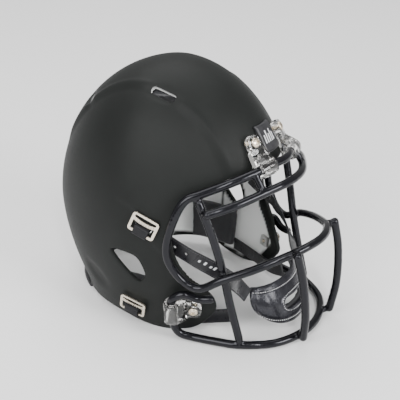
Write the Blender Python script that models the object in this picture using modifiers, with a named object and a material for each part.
"""Collector's american football helmet: shell, welded wire face mask, clips, pads and chin strap.

Front faces -Y, the wearer's right side is at -X, up is +Z, and Z = 0 is the table it rests on.
"""
import math

import bmesh
import bpy
from mathutils import Matrix, Vector

MM = 0.001

# ---- driving dimensions (metres) ----
SHELL_TOP = 142.2 * MM
WALL = 2.6 * MM
GAP = 0.3 * MM

HALF_WIDTH = 56.9 * MM      # widest level of the shell
WIDE_LEVEL = 51.6 * MM
WIDE_POWER = 2.25
JAW_NARROWING = 9.3 * MM    # how much narrower the shell is at its lower edge

FRONT_REACH = 71.4 * MM     # shell surface in front of the ear line
FRONT_LEVEL = 54.0 * MM
FRONT_POWER = 2.12
JAW_REACH = 9.1 * MM        # extra reach of the jaw flaps at the lower edge

BACK_REACH = 73.0 * MM      # shell surface behind the ear line
BACK_LEVEL = 59.3 * MM
BACK_POWER = 1.79
NECK_TUCK = 20.5 * MM       # how far the back curves in towards the neck
RIM_FLARE = 2.9 * MM

FRONT_PLAN_POWER = 1.77
BACK_PLAN_POWER = 1.93

PANEL_HALF_WIDTH = 27.5 * MM   # raised panel along the middle of the crown
PANEL_LIFT = 1.2 * MM

WIRE_RADIUS = 2.35 * MM        # coated steel wire of the face mask
WIRE_SIDES = 2                 # bevel resolution

STRAP_WIDTH = 8.4 * MM
STRAP_THICK = 1.1 * MM
BUCKLE_WIDTH = 15.5 * MM
BUCKLE_HEIGHT = 11.5 * MM
BUCKLE_THICK = 1.0 * MM
BUCKLE_END_BAR = 1.9 * MM
BUCKLE_STAND = 1.9 * MM     # hinge bar's height above the shell
BUCKLE_HINGE_Y = (BUCKLE_END_BAR - BUCKLE_HEIGHT) / 2
BUCKLE_ARM = 2.2 * MM
BUCKLE_MIDDLE_BAR = 1.4 * MM
WEBBING_THICK = 0.9 * MM
WEBBING_LOOP = 1.15 * MM     # inner radius round the buckle's lower bar
WEBBING_HALF = 1.5 * MM      # half thickness of the folded webbing in the shell's slot
WEBBING_TAIL = 1.2 * MM      # how far it reaches past the wall inside

CLIP_BAR_BORE = 3.0 * MM
CLIP_RING = 4.7 * MM
CLIP_HALF_WIDTH = 4.7 * MM
SCREW_HEAD = 2.5 * MM
SCREW_SHANK = 1.1 * MM
SCREW_HOLE = 1.6 * MM

ORIGIN_SHIFT = Vector((0, 12.46, 0.01)) * MM
STRAP_PIVOT = Vector((0, -18.0, 66.0)) * MM

SIDES = (("right", -1), ("left", 1))

for old in list(bpy.data.objects):
    bpy.data.objects.remove(old, do_unlink=True)

PARTS = bpy.data.collections.new("football_helmet")
CUTTERS = bpy.data.collections.new("cutters")
bpy.context.scene.collection.children.link(PARTS)
bpy.context.scene.collection.children.link(CUTTERS)


# ---- materials ----
def material(name, colour, roughness, metallic=0.0):
    found = bpy.data.materials.get(name)
    if found:
        return found
    made = bpy.data.materials.new(name)
    made.use_nodes = True
    shader = made.node_tree.nodes["Principled BSDF"]
    shader.inputs["Base Color"].default_value = (*colour, 1.0)
    shader.inputs["Roughness"].default_value = roughness
    shader.inputs["Metallic"].default_value = metallic
    return made


SHELL_BLACK = material("shell_matte_black", (0.030, 0.032, 0.032), 0.55)
WIRE_BLACK = material("wire_gloss_black", (0.008, 0.008, 0.010), 0.12)
CLEAR_PLASTIC = material("clip_clear_plastic", (0.75, 0.74, 0.72), 0.15)
SCREW_METAL = material("screw_zinc", (0.72, 0.62, 0.50), 0.3, 1.0)
NUT_METAL = material("nut_steel", (0.60, 0.60, 0.60), 0.35, 1.0)
BUCKLE_METAL = material("buckle_nickel", (0.66, 0.62, 0.55), 0.3, 1.0)
BUMPER_BLACK = material("bumper_black", (0.012, 0.012, 0.013), 0.3)
STRAP_BLACK = material("strap_black", (0.010, 0.010, 0.011), 0.4)
CUP_BLACK = material("cup_vinyl_black", (0.008, 0.008, 0.009), 0.2)
PAD_BLACK = material("pad_foam_black", (0.015, 0.015, 0.017), 0.6)


# ---- the shell's surface as one function ----
def smooth_step(low, high, value):
    t = min(max((value - low) / (high - low), 0.0), 1.0)
    return t * t * (3 - 2 * t)


def dome_radius(reach, level, power, z):
    q = min(max((z - level) / (SHELL_TOP - level), 0.0), 1.0)
    return reach * (1 - q ** power) ** (1 / power)


def extents(z):
    """Half width, front reach and back reach of the shell at a level."""
    low_wide = max((WIDE_LEVEL - z) / WIDE_LEVEL, 0.0)
    low_front = max((FRONT_LEVEL - z) / FRONT_LEVEL, 0.0)
    low_back = max((BACK_LEVEL - z) / BACK_LEVEL, 0.0)
    wide = dome_radius(HALF_WIDTH, WIDE_LEVEL, WIDE_POWER, z) - JAW_NARROWING * low_wide ** 2
    front = dome_radius(FRONT_REACH, FRONT_LEVEL, FRONT_POWER, z) + JAW_REACH * low_front
    back = dome_radius(BACK_REACH, BACK_LEVEL, BACK_POWER, z) - NECK_TUCK * low_back ** 1.7
    back += RIM_FLARE * (1 - smooth_step(2 * MM, 15 * MM, z))
    return wide, front, back


def shell_point(azimuth, z):
    """Point on the outer surface; azimuth 0 is the front, positive towards +X."""
    wide, front, back = extents(z)
    c, s = math.cos(azimuth), math.sin(azimuth)
    power = FRONT_PLAN_POWER if c > 0 else BACK_PLAN_POWER
    r = (abs(c) ** power + abs(s) ** power) ** (-1 / power)
    return Vector((wide * s * r, (-front if c > 0 else -back) * c * r, z))


def side_point(side, y, z):
    """Point on the outer surface at a given y and level, on one side."""
    wide, front, back = extents(z)
    power = FRONT_PLAN_POWER if y < 0 else BACK_PLAN_POWER
    q = min(abs(y) / (front if y < 0 else back), 1.0)
    return Vector((side * wide * (1 - q ** power) ** (1 / power), y, z))


def surface_value(p):
    wide, front, back = extents(p.z)
    power = FRONT_PLAN_POWER if p.y < 0 else BACK_PLAN_POWER
    reach = front if p.y < 0 else back
    return (abs(p.x) / wide) ** power + (abs(p.y) / reach) ** power - 1


def normal_at(p):
    """Outward normal of the shell at a surface point, by central differences."""
    step = 0.05 * MM
    slopes = []
    for axis in range(3):
        shift = Vector((0, 0, 0))
        shift[axis] = step
        slopes.append(surface_value(p + shift) - surface_value(p - shift))
    return Vector(slopes).normalized()


def surface_frame(p):
    """Matrix with X along the surface (level, towards the front), Y up the surface, Z outward."""
    out = normal_at(p)
    across = Vector((0, 0, 1)).cross(out).normalized()
    up = out.cross(across).normalized()
    frame = Matrix((across, up, out)).transposed().to_4x4()
    frame.translation = p
    return frame


# ---- helpers that make objects ----
def add_object(name, mesh, mat, collection=PARTS):
    obj = bpy.data.objects.new(name, mesh)
    collection.objects.link(obj)
    if mat:
        obj.data.materials.clear()
        obj.data.materials.append(mat)
    return obj


def mesh_from(bm, name):
    mesh = bpy.data.meshes.new(name)
    bm.to_mesh(mesh)
    bm.free()
    return mesh


def evaluated_mesh(obj, name, mat, collection=PARTS):
    """Turn a curve object into a closed mesh object and drop the curve."""
    bpy.context.view_layer.update()
    graph = bpy.context.evaluated_depsgraph_get()
    mesh = bpy.data.meshes.new_from_object(obj.evaluated_get(graph))
    bm = bmesh.new()
    bm.from_mesh(mesh)
    bmesh.ops.remove_doubles(bm, verts=bm.verts, dist=1e-6)
    bmesh.ops.recalc_face_normals(bm, faces=bm.faces)
    bm.to_mesh(mesh)
    bm.free()
    made = add_object(name, mesh, mat, collection)
    made.matrix_world = obj.matrix_world.copy()
    bpy.data.objects.remove(obj, do_unlink=True)
    return made


def smooth_path(points, per_span, closed=False):
    """Catmull-Rom points through a short list of hand-placed points."""
    pts = [Vector(p) for p in points]
    if closed:
        pts = [pts[-1]] + pts + [pts[0], pts[1]]
    else:
        pts = [2 * pts[0] - pts[1]] + pts + [2 * pts[-1] - pts[-2]]
    path = []
    for a, b, c, d in zip(pts, pts[1:], pts[2:], pts[3:]):
        for k in range(per_span):
            t = k / per_span
            path.append(0.5 * (2 * b + (c - a) * t + (2 * a - 5 * b + 4 * c - d) * t ** 2
                               + (3 * b - a - 3 * c + d) * t ** 3))
    if not closed:
        path.append(pts[-2])
    return path


def in_mm(points):
    return [Vector(p) * MM for p in points]


def mirrored(points):
    return [Vector((-p[0], p[1], p[2])) for p in points]


def both_halves(points):
    """A path given from the right side to the centre, carried on to the left side."""
    return list(points) + mirrored(points[-2::-1])


def wire(name, path, radius, mat=None, closed=False, collection=PARTS):
    curve = bpy.data.curves.new(name, "CURVE")
    curve.dimensions = "3D"
    spline = curve.splines.new("POLY")
    spline.points.add(len(path) - 1)
    for point, co in zip(spline.points, path):
        point.co = (*co, 1.0)
    spline.use_cyclic_u = closed
    curve.bevel_depth = radius
    curve.bevel_resolution = WIRE_SIDES
    curve.use_fill_caps = not closed
    obj = bpy.data.objects.new(name + "_path", curve)
    PARTS.objects.link(obj)
    return evaluated_mesh(obj, name, mat, collection)


def outline_solid(name, loops, half_depth, frame, mat=None, collection=PARTS):
    """Flat outline (outer loop first, then holes) extruded both ways and placed by a matrix."""
    curve = bpy.data.curves.new(name, "CURVE")
    curve.dimensions = "2D"
    curve.fill_mode = "BOTH"
    curve.extrude = half_depth
    for loop in loops:
        spline = curve.splines.new("POLY")
        spline.points.add(len(loop) - 1)
        for point, co in zip(spline.points, loop):
            point.co = (co[0], co[1], 0.0, 1.0)
        spline.use_cyclic_u = True
    obj = bpy.data.objects.new(name + "_outline", curve)
    obj.matrix_world = frame
    PARTS.objects.link(obj)
    return evaluated_mesh(obj, name, mat, collection)


def arc(cx, cy, radius, start, end, count):
    """Points on an arc, angles in degrees, both ends included."""
    return [(cx + radius * math.cos(math.radians(start + (end - start) * k / count)),
             cy + radius * math.sin(math.radians(start + (end - start) * k / count)))
            for k in range(count + 1)]


def circle(cx, cy, radius, count):
    return arc(cx, cy, radius, 0, 360 - 360 / count, count - 1)


def rounded_box(half_x, half_y, radius, per_corner=3):
    corners = ((1, 1, 0), (-1, 1, 90), (-1, -1, 180), (1, -1, 270))
    return [p for sx, sy, start in corners
            for p in arc(sx * (half_x - radius), sy * (half_y - radius), radius,
                         start, start + 90, per_corner)]


def cylinder(name, radius, depth, frame, mat=None, sides=16, collection=PARTS):
    """Cylinder along the frame's Z axis, centred on its origin."""
    bm = bmesh.new()
    bmesh.ops.create_cone(bm, cap_ends=True, segments=sides, radius1=radius, radius2=radius,
                          depth=depth)
    obj = add_object(name, mesh_from(bm, name), mat, collection)
    obj.matrix_world = frame
    return obj


def cut(obj, cutter, operation="DIFFERENCE"):
    modifier = obj.modifiers.new(cutter.name, "BOOLEAN")
    modifier.object = cutter
    modifier.operation = operation
    modifier.solver = "EXACT"
    cutter.hide_render = True
    cutter.display_type = "WIRE"


def surface_patch(name, rows, thickness, mat, closed_ring=False):
    """Grid of points (list of rows), given a thickness inward; a closed ring is capped at its last row."""
    bm = bmesh.new()
    grid = [[bm.verts.new(p) for p in row] for row in rows]
    count = len(grid[0])
    for lower, upper in zip(grid, grid[1:]):
        for k in range(count if closed_ring else count - 1):
            j = (k + 1) % count
            bm.faces.new((lower[k], lower[j], upper[j], upper[k]))
    if closed_ring:
        bm.faces.new(grid[-1])
    obj = add_object(name, mesh_from(bm, name), mat)
    solid = obj.modifiers.new("thickness", "SOLIDIFY")
    solid.thickness = thickness
    solid.offset = -1
    return obj


def along(frame, x=0.0, y=0.0, z=0.0):
    return frame @ Matrix.Translation((x, y, z))


# ---- where the mask clips sit ----
CLIP_SCREW_REACH = {"top": 14.0 * MM, "side": 11.3 * MM}
CLIP_TAIL = {"top": 18.2 * MM, "side": 15.8 * MM}
CLIP_STAND = 5.1 * MM      # bar centre to the plane of the shell under the clip
CLIP_MID_REACH = 8.0 * MM
TOP_CLIP_AZIMUTH = math.radians(13.8)
TOP_CLIP_LEVEL = 103.0 * MM
SIDE_CLIP_MID = (-37.6 * MM, 20.5 * MM)
SIDE_CLIP_HALF_WIDTH = 6.3 * MM


# ---- shell ----
LOW_CUT = -8 * MM
DOME_SEGMENTS = 52
DOME_RINGS = 32
KEPT_RINGS = 20

# Lower and front edge of the shell seen from the side, as (y, z) in millimetres, back to front.
SIDE_EDGE = [(60, 1.0), (42, 1.6), (28, 4), (14, 5), (2, 4), (-8, 1.2), (-20, 0), (-30, 1.5), (-40, 5.5),
             (-49, 15), (-51, 22), (-46, 31), (-38, 41), (-33, 52), (-31, 64), (-33, 76), (-38, 86),
             (-48, 91.5), (-57, 95), (-66, 96.5)]

EAR_HOLE = [(4.6, 49.2), (-4, 50.6), (-12.2, 48.3), (-16.1, 39.6), (-15.2, 36.1), (-12.6, 33.1),
            (-9.7, 34), (-4.1, 39.2)]


def crown_lift(x, y, z):
    """The raised middle panel, fading out at the brow and the nape."""
    across = 1 - smooth_step(PANEL_HALF_WIDTH - 2.5 * MM, PANEL_HALF_WIDTH + 2.5 * MM, abs(x))
    height = smooth_step(88 * MM, 100 * MM, z)
    return PANEL_LIFT * across * height


def shell_body():
    bm = bmesh.new()
    bmesh.ops.create_uvsphere(bm, u_segments=DOME_SEGMENTS, v_segments=DOME_RINGS, radius=1)
    ring_angle = math.pi / DOME_RINGS
    floor_angle = math.pi / 2 - KEPT_RINGS * ring_angle
    low = [v for v in bm.verts if math.asin(max(-1, min(1, v.co.z))) < floor_angle - ring_angle / 2]
    bmesh.ops.delete(bm, geom=low, context="VERTS")
    for vert in bm.verts:
        azimuth = math.atan2(vert.co.x, -vert.co.y)
        elevation = math.asin(max(-1, min(1, vert.co.z)))
        share = (elevation - floor_angle) / (math.pi / 2 - floor_angle)
        z = LOW_CUT + (SHELL_TOP - LOW_CUT) * math.sin(share * math.pi / 2)
        z = min(z, SHELL_TOP)
        vert.co = shell_point(azimuth, z)
    for vert in bm.verts:
        lift = crown_lift(*vert.co)
        vert.co += lift * Vector((0, vert.co.y, vert.co.z - WIDE_LEVEL)).normalized()
    obj = add_object("shell", mesh_from(bm, "shell"), SHELL_BLACK)
    wall = obj.modifiers.new("wall", "SOLIDIFY")
    wall.thickness = WALL
    wall.offset = -1
    return obj


def side_plane():
    """Matrix whose XY plane is the helmet's side view (local x is y, local y is z)."""
    return Matrix(((0, 0, 1, 0), (1, 0, 0, 0), (0, 1, 0, 0), (0, 0, 0, 1)))


def side_view_cutter(name, outline, half_width=90 * MM, centre=0.0):
    frame = Matrix.Translation((centre, 0, 0)) @ side_plane()
    return outline_solid(name, [outline], half_width, frame, None, CUTTERS)


def opening_cutter():
    edge = [(p.x, p.y) for p in smooth_path([Vector((y, z, 0)) * MM for y, z in SIDE_EDGE], 3)]
    far = 110 * MM
    outline = [(far, edge[0][1])] + edge + [(-far, edge[-1][1]), (-far, -30 * MM), (far, -30 * MM)]
    return side_view_cutter("opening_cutter", outline)


def ear_cutter(label, side):
    loop = smooth_path([Vector((y, z, 0)) * MM for y, z in EAR_HOLE], 3, closed=True)
    return side_view_cutter("ear_cutter_" + label, [(p.x, p.y) for p in loop], 20 * MM, side * 52 * MM)


UPPER_BUCKLE = (-17.3 * MM, 69.3 * MM)
LOWER_BUCKLE = (-6.4 * MM, 15.5 * MM)
UPPER_TURN = 24
LOWER_TURN = 16
BUCKLES = (("upper", UPPER_BUCKLE, UPPER_TURN), ("lower", LOWER_BUCKLE, LOWER_TURN))
CROWN_VENT_AZIMUTH = math.atan2(27.2, 11.0)
CROWN_VENT_LEVEL = 132.4 * MM
CROWN_VENT_TURN = 24.0
REAR_VENT_AZIMUTH = 2.62
REAR_VENT_LEVEL = 118.0 * MM
SLOT_BELOW_BUCKLE = -1.6 * MM


def buckle_frame(side, place, turn):
    """Frame of a buckle: X along its bars, Y up the shell, Z outward; origin on the surface."""
    point = side_point(side, *place)
    return surface_frame(point) @ Matrix.Rotation(math.radians(turn * side), 4, "Z")


def shell_slot(shell, name, frame, half_length, half_width, corner, half_depth):
    """Cut a round-ended slot through the shell at a surface frame."""
    outline = rounded_box(half_length, half_width, corner)
    cut(shell, outline_solid(name, [outline], half_depth, frame, None, CUTTERS))


def cut_shell(shell):
    cut(shell, opening_cutter())
    for label, side in SIDES:
        cut(shell, ear_cutter(label, side))
        crown = surface_frame(shell_point(side * CROWN_VENT_AZIMUTH, CROWN_VENT_LEVEL))
        crown = crown @ Matrix.Rotation(math.radians(side * CROWN_VENT_TURN), 4, "Z")
        shell_slot(shell, "crown_vent_cutter_" + label, crown, 7.5 * MM, 2.2 * MM, 2 * MM, 9 * MM)
        rear = surface_frame(shell_point(side * REAR_VENT_AZIMUTH, REAR_VENT_LEVEL))
        shell_slot(shell, "rear_vent_cutter_" + label, rear, 6 * MM, 2 * MM, 1.8 * MM, 9 * MM)
        for level, place, turn in BUCKLES:
            slot = along(buckle_frame(side, place, turn), y=SLOT_BELOW_BUCKLE)
            shell_slot(shell, level + "_slot_cutter_" + label, slot, STRAP_WIDTH / 2 + 0.8 * MM,
                       2.6 * MM, 1 * MM, 6 * MM)
        for kind, clip in (("top", top_clip_frame(side)), ("side", side_clip_frame(side))):
            hole = along(clip, y=CLIP_SCREW_REACH[kind])
            cut(shell, cylinder(kind + "_hole_cutter_" + label, SCREW_HOLE, 30 * MM, hole, None, 16, CUTTERS))
    return shell


# ---- face mask wires ----
BROW_SIDE = in_mm([(-31, -57.2, 94.6), (-42, -46.4, 90.2), (-47.6, -39.2, 86.6),
                   (-51.6, -35, 77), (-54.6, -31.6, 62), (-54.2, -32.6, 51), (-51, -39.5, 40.2),
                   (-48.2, -48, 37.4), (-44.1, -59.0, 44.0), (-34, -73.2, 50.2), (-18.8, -87.2, 56.4),
                   (-9, -92.2, 58.3)])
BROW_BULGE = 2.1 * MM
MID_CENTRE = Vector((0, -93.8, 58.8)) * MM
GUARD_BAR = in_mm([(-47.6, -52.3, 82), (-36, -62.0, 85), (-18, -72.2, 88.7), (-8, -76.3, 89.9),
                   (0, -77.3, 90.2)])
UPRIGHT = in_mm([(-44.5, -45.6, 85.6), (-44.3, -48.0, 80), (-41.6, -53.2, 62), (-39.6, -57.2, 44),
                 (-39.3, -61.2, 26), (-38.6, -66.2, 6.6)])
CHIN_UPRIGHT = in_mm([(-22.2, -91.0, 57.4), (-21.4, -94.4, 42), (-19.4, -95.6, 22), (-16.6, -93.6, 4.4)])
JAW_RETURN = in_mm([(-43.9, -51.8, 29.6), (-46.8, -45.6, 29.2), (-50.8, -38.6, 31.8)])
JAW_FRONT = in_mm([(-49.4, -34.6, 4.9), (-46.0, -42.0, 2.5), (-42.9, -54, 2.5), (-38.4, -67, 2.5),
                   (-28, -81, 2.5), (-14.5, -88.6, 2.5), (0, -91.2, 2.5)])
STUB_X = 21.2 * MM


def through_clip(frame, half_length):
    """Points that keep a wire straight along the clip's bore."""
    return [frame @ Vector((x, 0, 0)) for x in (-half_length, 0, half_length)]


def brow_loop_path():
    half = sorted(through_clip(top_clip_frame(-1), 5 * MM), key=lambda p: -p.x) + BROW_SIDE
    centre = Vector((0, half[0].y - BROW_BULGE, half[0].z + 0.1 * BROW_BULGE))
    return [centre] + half + [MID_CENTRE] + mirrored(half[::-1])


def jaw_bar_path():
    upright = through_clip(side_clip_frame(-1), 7.6 * MM)
    if upright[0].z < upright[-1].z:
        upright.reverse()
    return JAW_RETURN + upright + JAW_FRONT


def upper_point_at(path, x):
    """The path's point nearest to a given x, on its upper run."""
    return min((p for p in path if p.z > 80 * MM), key=lambda p: abs(p.x - x))


def mask_wires():
    brow = smooth_path(brow_loop_path(), 3, closed=True)
    guard = smooth_path(both_halves(GUARD_BAR), 4)
    wire("mask_brow_loop", brow, WIRE_RADIUS, WIRE_BLACK, closed=True)
    wire("mask_guard_bar", guard, WIRE_RADIUS, WIRE_BLACK)
    wire("mask_jaw_bar", smooth_path(both_halves(jaw_bar_path()), 3), WIRE_RADIUS, WIRE_BLACK)
    stub_top = upper_point_at(brow, -STUB_X)
    stub_low = upper_point_at(guard, -STUB_X)
    step = (stub_low - stub_top).normalized() * (WIRE_RADIUS + 2 * GAP)
    stub = [stub_top + step, stub_low - step]
    for label, side in SIDES:
        flip = mirrored if side > 0 else list
        wire("mask_upright_" + label, smooth_path(flip(UPRIGHT), 3), WIRE_RADIUS, WIRE_BLACK)
        wire("mask_chin_upright_" + label, smooth_path(flip(CHIN_UPRIGHT), 4), WIRE_RADIUS, WIRE_BLACK)
        wire("mask_stub_" + label, flip(stub), WIRE_RADIUS * 0.85, WIRE_BLACK)


# ---- mask clips with their screws and nuts ----
def clip_frame(mid, bar_direction):
    """Frame with X across the clip, Y towards its screw, Z outward, at the bar's centre.

    mid is the surface point under the clip's plate; the bar runs along bar_direction.
    """
    out = normal_at(mid)
    across = (bar_direction - bar_direction.dot(out) * out).normalized()
    toward = out.cross(across).normalized()
    frame = Matrix((across, toward, out)).transposed().to_4x4()
    frame.translation = mid + out * (CLIP_STAND + crown_lift(*mid)) - toward * CLIP_MID_REACH
    return frame


def top_clip_frame(side):
    mid = shell_point(side * TOP_CLIP_AZIMUTH, TOP_CLIP_LEVEL)
    return clip_frame(mid, Vector((14.5, side * 7.0, side * -3.0)))


def side_clip_frame(side):
    mid = side_point(side, *SIDE_CLIP_MID)
    return clip_frame(mid, Vector((1.1, side * -0.7, side * 10.0)))


def clip_outline(tail):
    """Side profile of a clip: a ring round the bar and a plate that runs along the shell."""
    inner = -CLIP_STAND + 0.55 * MM
    outer = -0.7 * MM
    ring = [(z, y) for z, y in arc(0, 0, CLIP_RING, 42, -150, 12)]
    plate = [(inner, -0.2 * MM), (inner, tail), (outer, tail), (outer, 8.2 * MM)]
    return [(y, z) for z, y in ring + plate]


def clip_profile_frame(frame):
    """Outline plane: local x is the clip's Y, local y is the clip's Z, extruded along its X."""
    turn = Matrix(((0, 0, 1, 0), (1, 0, 0, 0), (0, 1, 0, 0), (0, 0, 0, 1)))
    return frame @ turn


def mask_clip(kind, label, frame, half_width):
    name = kind + "_clip_" + label
    loops = [clip_outline(CLIP_TAIL[kind]), circle(0, 0, CLIP_BAR_BORE, 16)]
    clip = outline_solid(name, loops, half_width, clip_profile_frame(frame), CLEAR_PLASTIC)
    hole = along(frame, y=CLIP_SCREW_REACH[kind])
    cut(clip, cylinder(kind + "_clip_hole_cutter_" + label, SCREW_HOLE, 20 * MM, hole, None, 16, CUTTERS))
    return clip


def clip_screw(kind, label, frame):
    """Pan-head screw: a turned head and shank through clip and shell."""
    seat = -0.7 * MM + GAP
    tip = -CLIP_STAND - WALL - 3.4 * MM
    rise = 1.5 * MM
    profile = [(0, seat + rise), (SCREW_HEAD * 0.6, seat + rise), (SCREW_HEAD, seat + 0.5 * rise),
               (SCREW_HEAD, seat), (SCREW_SHANK, seat), (SCREW_SHANK, tip), (0, tip)]
    return turned(kind + "_screw_" + label, profile, along(frame, y=CLIP_SCREW_REACH[kind]), SCREW_METAL)


def turned(name, profile, frame, mat, sides=16):
    """Solid of revolution about the frame's Z axis from a profile given top to bottom."""
    bm = bmesh.new()
    verts = [bm.verts.new((r, 0, z)) for r, z in profile]
    for a, b in zip(verts, verts[1:]):
        bm.edges.new((a, b))
    obj = add_object(name, mesh_from(bm, name), mat)
    screw = obj.modifiers.new("turn", "SCREW")
    screw.steps = sides
    screw.render_steps = sides
    screw.use_merge_vertices = True
    screw.merge_threshold = 0.00001
    obj.matrix_world = frame
    return obj


def clip_nut(kind, label, frame):
    """Square nut inside the shell, with its bore clear of the screw."""
    half = 3.2 * MM
    loops = [rounded_box(half, half, 0.6 * MM, 2), circle(0, 0, SCREW_SHANK + 0.25 * MM, 16)]
    inside = -CLIP_STAND - WALL - 1.9 * MM
    return outline_solid(kind + "_nut_" + label, loops, 0.8 * MM,
                         along(frame, y=CLIP_SCREW_REACH[kind], z=inside), NUT_METAL)


def clips_and_screws():
    for label, side in SIDES:
        for kind, frame, half in (("top", top_clip_frame(side), CLIP_HALF_WIDTH),
                                  ("side", side_clip_frame(side), SIDE_CLIP_HALF_WIDTH)):
            mask_clip(kind, label, frame, half)
            clip_screw(kind, label, frame)
            clip_nut(kind, label, frame)


# ---- bumpers ----
def band_rows(azimuths, levels_at, offset, rows):
    """Grid of points a small distance outside the shell, between two level functions."""
    grid = []
    for k in range(rows + 1):
        row = []
        for azimuth in azimuths:
            low, high = levels_at(azimuth)
            point = shell_point(azimuth, low + (high - low) * k / rows)
            row.append(point + normal_at(point) * (offset + crown_lift(*point)))
        grid.append(row)
    return grid


def even(start, end, count):
    return [start + (end - start) * k / count for k in range(count + 1)]


def front_bumper():
    """Moulded strip over the brow, between the two top clips."""
    thick = 1.9 * MM
    azimuths = even(-0.130, 0.130, 8)
    rows = band_rows(azimuths, lambda a: (101.4 * MM, 114.5 * MM), GAP + thick, 5)
    return surface_patch("front_bumper", rows, thick, BUMPER_BLACK)


def rear_bumper():
    """Strip round the back of the lower rim."""
    thick = 1.8 * MM
    azimuths = even(math.radians(134), math.radians(226), 18)
    rows = band_rows(azimuths, lambda a: (1.8 * MM, 9.5 * MM), GAP + thick, 3)
    return surface_patch("rear_bumper", rows, thick, BUMPER_BLACK)


# ---- buckles and their webbing ----
def buckle_hinge_frame(side, place, turn):
    """Frame on the axis of the buckle's lower bar, which hangs in the webbing loop."""
    return along(buckle_frame(side, place, turn), y=BUCKLE_HINGE_Y, z=BUCKLE_STAND)


def buckle(level, label, side, place, turn):
    """Stamped ladder buckle: a frame with two windows and a bar between them, about its lower bar."""
    half_x = BUCKLE_WIDTH / 2
    low, high = -BUCKLE_END_BAR / 2, BUCKLE_HEIGHT - BUCKLE_END_BAR / 2
    window = half_x - BUCKLE_ARM
    bar_low = BUCKLE_HEIGHT / 2 - 0.3 * MM
    bar_high = bar_low + BUCKLE_MIDDLE_BAR
    middle = (low + high) / 2
    upper = [(-window, bar_high), (window, bar_high), (window, high - BUCKLE_END_BAR),
             (-window, high - BUCKLE_END_BAR)]
    lower = [(-window, low + BUCKLE_END_BAR), (window, low + BUCKLE_END_BAR), (window, bar_low),
             (-window, bar_low)]
    outline = [(x, y + middle) for x, y in rounded_box(half_x, BUCKLE_HEIGHT / 2, 1.2 * MM)]
    return outline_solid(level + "_buckle_" + label, [outline, upper, lower], BUCKLE_THICK / 2,
                         buckle_hinge_frame(side, place, turn), BUCKLE_METAL)


def webbing_loop(level, label, side, place, turn):
    """Short webbing loop from the shell's slot round the buckle's lower bar and back."""
    frame = buckle_frame(side, place, turn)
    bar_y, bar_z = BUCKLE_HINGE_Y, BUCKLE_STAND
    inner = WEBBING_LOOP
    outer = inner + WEBBING_THICK
    slot_y = SLOT_BELOW_BUCKLE
    depth = -WALL - WEBBING_TAIL
    fold = WEBBING_HALF - WEBBING_THICK
    outside = [(slot_y + WEBBING_HALF, depth), (slot_y + WEBBING_HALF, bar_z + outer)]
    outside += [(bar_y + y, bar_z + z) for y, z in arc(0, 0, outer, 90, 270, 8)]
    outside += [(slot_y - WEBBING_HALF, bar_z - outer), (slot_y - WEBBING_HALF, depth)]
    inside = [(slot_y - fold, depth), (slot_y - fold, bar_z - inner)]
    inside += [(bar_y + y, bar_z + z) for y, z in arc(0, 0, inner, 270, 90, 8)]
    inside += [(slot_y + fold, bar_z + inner), (slot_y + fold, depth)]
    return outline_solid(level + "_webbing_" + label, [outside + inside], STRAP_WIDTH / 2,
                         clip_profile_frame(frame), STRAP_BLACK)


def buckles():
    for label, side in SIDES:
        for level, place, turn in BUCKLES:
            buckle(level, label, side, place, turn)
            webbing_loop(level, label, side, place, turn)


# ---- chin strap and cup ----
CUP_CENTRE = Vector((0, -64, 17)) * MM
CUP_REACH_X = 25.5 * MM
CUP_REACH_Y = 17.0 * MM
CUP_HALF_HEIGHT = 12.5 * MM
CUP_LEAN = 0.35
CUP_THICK = 1.2 * MM
CUP_SPAN = math.radians(84)


def cup_point(u, v, reach=0.0):
    """Point of the dished cup; u is the angle round its front, v from -1 (low) to 1 (high)."""
    dish = 1 - 0.16 * v * v
    x = (CUP_REACH_X + reach) * math.sin(u) * dish
    y = -(CUP_REACH_Y + reach) * math.cos(u) * dish
    height = CUP_HALF_HEIGHT * (1 - 0.38 * (u / CUP_SPAN) ** 2) * v
    return CUP_CENTRE + Vector((x, y + CUP_LEAN * height, height + 3.5 * MM * (u / CUP_SPAN) ** 2))


def cup_rows(columns, rows, reach, trim=1.0):
    return [[cup_point(CUP_SPAN * trim * (2 * i / columns - 1), trim * (2 * j / rows - 1), reach)
             for i in range(columns + 1)] for j in range(rows + 1)]


def chin_cup():
    cup = surface_patch("chin_cup", cup_rows(16, 6, 0.0), CUP_THICK, CUP_BLACK)
    slot = Matrix.Translation(CUP_CENTRE) @ Matrix.Rotation(math.radians(90), 4, "X")
    outline = rounded_box(11.0 * MM, 3.2 * MM, 3.0 * MM)
    cut(cup, outline_solid("cup_slot_cutter", [outline], 40 * MM, slot, None, CUTTERS))
    pad = surface_patch("chin_cup_pad", cup_rows(12, 6, -CUP_THICK - 0.9 * MM, 0.86), 2.0 * MM, PAD_BLACK)
    cut(pad, outline_solid("pad_slot_cutter", [rounded_box(10.0 * MM, 2.6 * MM, 2.4 * MM)], 40 * MM,
                           slot, None, CUTTERS))


def ribbon(name, path, width_direction):
    """Flat strap along a path: a loft of rectangles whose width follows one direction."""
    bm = bmesh.new()
    rings = []
    for k, centre in enumerate(path):
        ahead = path[min(k + 1, len(path) - 1)] - path[max(k - 1, 0)]
        ahead.normalize()
        across = (width_direction - width_direction.dot(ahead) * ahead).normalized()
        flat = ahead.cross(across)
        rings.append([bm.verts.new(centre + across * a * STRAP_WIDTH / 2 + flat * b * STRAP_THICK / 2)
                      for a, b in ((-1, -1), (1, -1), (1, 1), (-1, 1))])
    for first, second in zip(rings, rings[1:]):
        for k in range(4):
            j = (k + 1) % 4
            bm.faces.new((first[k], first[j], second[j], second[k]))
    bm.faces.new(rings[0][::-1])
    bm.faces.new(rings[-1])
    bmesh.ops.recalc_face_normals(bm, faces=bm.faces)
    return add_object(name, mesh_from(bm, name), STRAP_BLACK)


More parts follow.
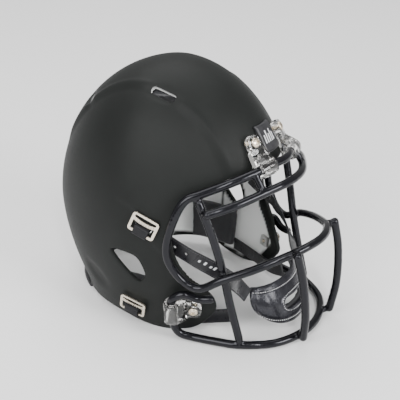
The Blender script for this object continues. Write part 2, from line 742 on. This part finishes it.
UPPER_STRAP = in_mm([(-44.8, -24.5, 57.5), (-43.2, -33, 53.2), (-40.8, -42.5, 48.6), (-36.5, -51.5, 43.0),
                     (-31.6, -59.3, 35.8), (-27.4, -64.8, 27.6)])
LOWER_STRAP = in_mm([(-44.0, -14.5, 9.6), (-41.0, -25, 8.6), (-36.0, -37, 8.4), (-30.4, -48, 9.6),
                     (-27.2, -57.6, 12.0)])


UPPER_STRAP_WIDTH_WAY = Vector((0, 0.5, 1))
LOWER_STRAP_WIDTH_WAY = Vector((0, 0.1, 1))
STRAP_HOLE_SHARES = (0.12, 0.26)


def straps():
    for label, side in SIDES:
        flip = mirrored if side > 0 else list
        upper = smooth_path(flip(UPPER_STRAP), 3)
        strap = ribbon("upper_strap_" + label, upper, UPPER_STRAP_WIDTH_WAY)
        for k, share in enumerate(STRAP_HOLE_SHARES):
            centre = upper[round(share * (len(upper) - 1))]
            hole = Matrix.Translation(centre) @ Matrix.Rotation(math.radians(90), 4, "Y")
            name = f"strap_hole_cutter_{label}_{k}"
            cut(strap, cylinder(name, 0.9 * MM, 12 * MM, hole, None, 12, CUTTERS))
        ribbon("lower_strap_" + label, smooth_path(flip(LOWER_STRAP), 3), LOWER_STRAP_WIDTH_WAY)


# ---- pads inside the shell ----
CROWN_PAD_TOP = 141.0 * MM
CROWN_PAD_STEPS = 4
PAD_GAP = 0.6 * MM
CROWN_PAD_STEP = 0.9 * MM
CROWN_PAD_THICK = 6 * MM
# Name, azimuths in degrees and their steps, levels, rows, thickness and stand-off from the wall.
INNER_PADS = (
    ("brow_pad", -38, 38, 12, 103 * MM, 116 * MM, 3, 4.5 * MM, 4.3 * MM),
    ("back_pad", 146, 214, 14, 8 * MM, 46 * MM, 5, 6 * MM, PAD_GAP),
    ("side_pad_right", -107, -79, 6, 7 * MM, 30.5 * MM, 5, 5 * MM, 1.6 * MM),
    ("side_pad_left", 79, 107, 6, 7 * MM, 30.5 * MM, 5, 5 * MM, 1.6 * MM),
)


def inner_pad(name, azimuths, low, high, rows, thickness, standoff):
    """Foam block held to the inner wall, following its curve."""
    grid = band_rows(azimuths, lambda azimuth: (low, high), -(WALL + standoff), rows)
    surface_patch(name, grid, thickness, PAD_BLACK)


def crown_pad():
    """Round crown cushion: a closed cap under the top of the shell."""
    levels = [CROWN_PAD_TOP - CROWN_PAD_STEP * k * k for k in range(CROWN_PAD_STEPS)]
    rows = []
    for level in reversed(levels):
        ring = [shell_point(azimuth, level) for azimuth in even(0, 2 * math.pi, 24)[:-1]]
        rows.append([point - normal_at(point) * (WALL + PAD_GAP) for point in ring])
    surface_patch("crown_pad", rows, CROWN_PAD_THICK, PAD_BLACK, closed_ring=True)


def pads():
    crown_pad()
    for name, start, end, steps, low, high, rows, thickness, standoff in INNER_PADS:
        azimuths = even(math.radians(start), math.radians(end), steps)
        inner_pad(name, azimuths, low, high, rows, thickness, standoff)


def hang_chin_strap():
    """The cup and its upper straps hang from an axis through the upper strap anchors."""
    pivot = bpy.data.objects.new("chin_strap_pivot", None)
    PARTS.objects.link(pivot)
    pivot.location = STRAP_PIVOT
    bpy.context.view_layer.update()
    for name in ("chin_cup", "chin_cup_pad", "upper_strap_right", "upper_strap_left"):
        piece = bpy.data.objects[name]
        piece.parent = pivot
        piece.matrix_parent_inverse = pivot.matrix_world.inverted()


def move_to_origin():
    """Put the middle of the whole outline, at table level, on the origin."""
    for obj in list(PARTS.objects) + list(CUTTERS.objects):
        if obj.parent is None:
            obj.location += ORIGIN_SHIFT


def build():
    cut_shell(shell_body())
    mask_wires()
    clips_and_screws()
    front_bumper()
    rear_bumper()
    buckles()
    chin_cup()
    straps()
    pads()
    hang_chin_strap()
    move_to_origin()


build()
